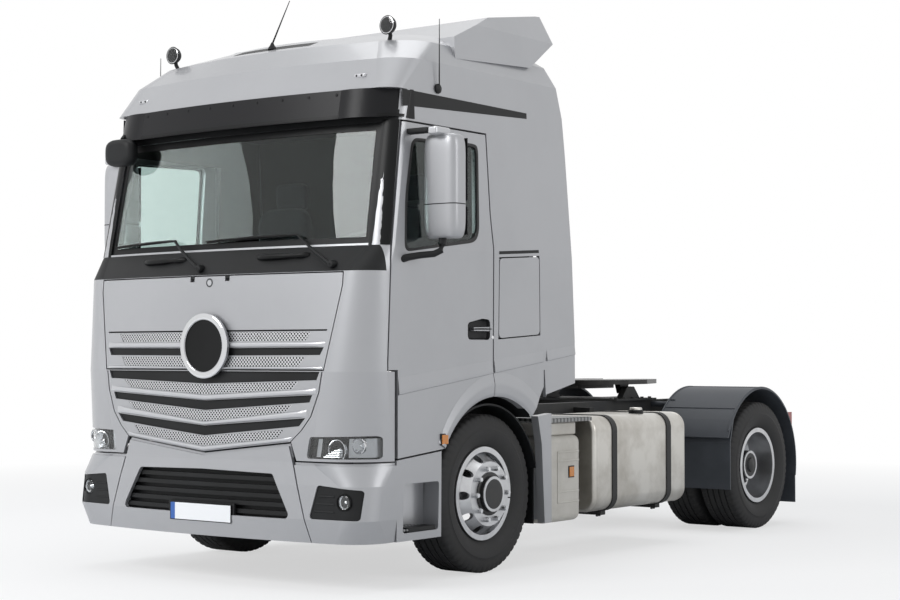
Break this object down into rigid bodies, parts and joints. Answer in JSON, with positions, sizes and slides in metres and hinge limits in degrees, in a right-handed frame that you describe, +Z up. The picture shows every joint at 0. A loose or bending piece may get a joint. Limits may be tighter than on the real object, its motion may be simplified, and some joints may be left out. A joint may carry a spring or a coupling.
{
  "type": "semi truck tractor unit",
  "caption": "Two-axle semi truck tractor unit with a high sleeper cab, twin rear wheels and a fifth wheel coupling; doors, tilting cab, steering and wheels move.",
  "frame": {"origin": "on the ground below the middle of the bounding box", "axes": "+Z up; the truck faces -Y; +X is the vehicle's left side"},
  "size_m": [3.06, 5.7149, 3.69],
  "materials": {
    "silver": "metallic satin",
    "black_plastic": "matte",
    "dark_plastic": "satin",
    "warm_grey": "satin",
    "interior": "matte",
    "aluminium_plate": "brushed",
    "frame_black": "painted",
    "cast_black": "greased",
    "cast_grey": "painted",
    "window": "clear",
    "lens": "clear",
    "wheel_alloy": "polished",
    "tank_alloy": "brushed",
    "tyre": "matte",
    "plate_white": "gloss",
    "rubber": "matte",
    "chrome": "polished",
    "red_lens": "gloss",
    "cloth": "woven"
  },
  "bodies": {
    "cab": {"cab_shell": "silver", "roof_cap": "silver", "cab_side_panels": "silver", "windscreen_cowl": "black_plastic", "windscreen": "window", "sun_visor": "dark_plastic", "roof_spoiler": "silver", "side_fairings": "silver", "lower_grille": "silver", "headlamp_panels": "silver", "headlamp_lenses": "lens", "headlamp_housings": "black_plastic", "tilt_arms": "frame_black", "ramp_mirror": "black_plastic", "roof_lamps": "chrome", "wipers": "black_plastic", "seats": "cloth", "dashboard": "interior", "bunk": "interior"},
    "flap": {"flap_panel": "silver"},
    "door_left_body": {"door_left": "silver", "door_glass_left": "window", "mirror_left": "silver"},
    "hatch_left": {"locker_hatch_left": "silver"},
    "steer_left": {"knuckle_left": "frame_black"},
    "front_wheel_left": {"front_rim_left": "wheel_alloy", "front_tyre_left": "tyre"},
    "rear_wheel_left": {"rear_rims_left": "wheel_alloy", "rear_tyres_left": "tyre"},
    "door_right_body": {"door_right": "silver", "door_glass_right": "window", "mirror_right": "silver"},
    "hatch_right": {"locker_hatch_right": "silver"},
    "steer_right": {"knuckle_right": "frame_black"},
    "front_wheel_right": {"front_rim_right": "wheel_alloy", "front_tyre_right": "tyre"},
    "rear_wheel_right": {"rear_rims_right": "wheel_alloy", "rear_tyres_right": "tyre"},
    "coupling_plate": {"fifth_wheel_plate": "cast_black"},
    "chassis": {"bumper_inserts": "black_plastic", "bumper_panels": "silver", "catwalk": "aluminium_plate", "chassis_frame": "frame_black", "cross_members": "frame_black", "entry_steps": "silver", "fifth_wheel_base": "frame_black", "front_axle": "frame_black", "front_mudguards": "black_plastic", "fuel_tanks": "tank_alloy", "number_plate": "plate_white", "powertrain": "cast_grey", "radiator": "cast_grey", "rear_axle": "frame_black", "rear_mudguards": "dark_plastic", "side_boxes": "warm_grey", "suspension": "frame_black", "tail_lamps": "red_lens", "tank_straps": "rubber", "wheel_fairings": "silver"}
  },
  "joints": [
    {"name": "cab_tilt", "type": "hinge", "parent": "chassis", "child": "cab", "pos_m": [0, -2.6355, 0.555], "axis": [1, 0, 0], "range_deg": [0, 58]},
    {"name": "front_flap", "type": "hinge", "parent": "cab", "child": "flap", "pos_m": [0, -2.7735, 1.866], "axis": [-1, 0, 0], "range_deg": [0, 85]},
    {"name": "coupling_tilt", "type": "hinge", "parent": "chassis", "child": "coupling_plate", "pos_m": [0, 1.5825, 1.112], "axis": [1, 0, 0], "range_deg": [-12, 12]},
    {"name": "door_left_hinge", "type": "hinge", "parent": "cab", "child": "door_left_body", "pos_m": [1.241, -2.5555, 2], "axis": [0, 0, -1], "range_deg": [0, 70]},
    {"name": "hatch_left_hinge", "type": "hinge", "parent": "cab", "child": "hatch_left", "pos_m": [1.239, -1.2005, 2.014], "axis": [0, -0.9979, -0.0645], "range_deg": [0, 85]},
    {"name": "steer_left_kingpin", "type": "hinge", "parent": "chassis", "child": "steer_left", "pos_m": [0.935, -1.4675, 0.505], "axis": [0, 0, 1], "range_deg": [-40, 40]},
    {"name": "front_wheel_left_spin", "type": "hinge", "parent": "steer_left", "child": "front_wheel_left", "pos_m": [1.021, -1.4675, 0.505], "axis": [1, 0, 0], "continuous": true},
    {"name": "rear_wheel_left_spin", "type": "hinge", "parent": "chassis", "child": "rear_wheel_left", "pos_m": [0.902, 2.2325, 0.505], "axis": [1, 0, 0], "continuous": true},
    {"name": "door_right_hinge", "type": "hinge", "parent": "cab", "child": "door_right_body", "pos_m": [-1.241, -2.5555, 2], "axis": [0, 0, 1], "range_deg": [0, 70]},
    {"name": "hatch_right_hinge", "type": "hinge", "parent": "cab", "child": "hatch_right", "pos_m": [-1.239, -1.2005, 2.014], "axis": [0, 0.9979, 0.0645], "range_deg": [0, 85]},
    {"name": "steer_right_kingpin", "type": "hinge", "parent": "chassis", "child": "steer_right", "pos_m": [-0.935, -1.4675, 0.505], "axis": [0, 0, 1], "range_deg": [-40, 40]},
    {"name": "front_wheel_right_spin", "type": "hinge", "parent": "steer_right", "child": "front_wheel_right", "pos_m": [-1.021, -1.4675, 0.505], "axis": [1, 0, 0], "continuous": true},
    {"name": "rear_wheel_right_spin", "type": "hinge", "parent": "chassis", "child": "rear_wheel_right", "pos_m": [-0.902, 2.2325, 0.505], "axis": [1, 0, 0], "continuous": true}
  ],
  "couplings": [
    {"joint": "steer_right_kingpin", "follows": "steer_left_kingpin", "ratio": 1}
  ]
}
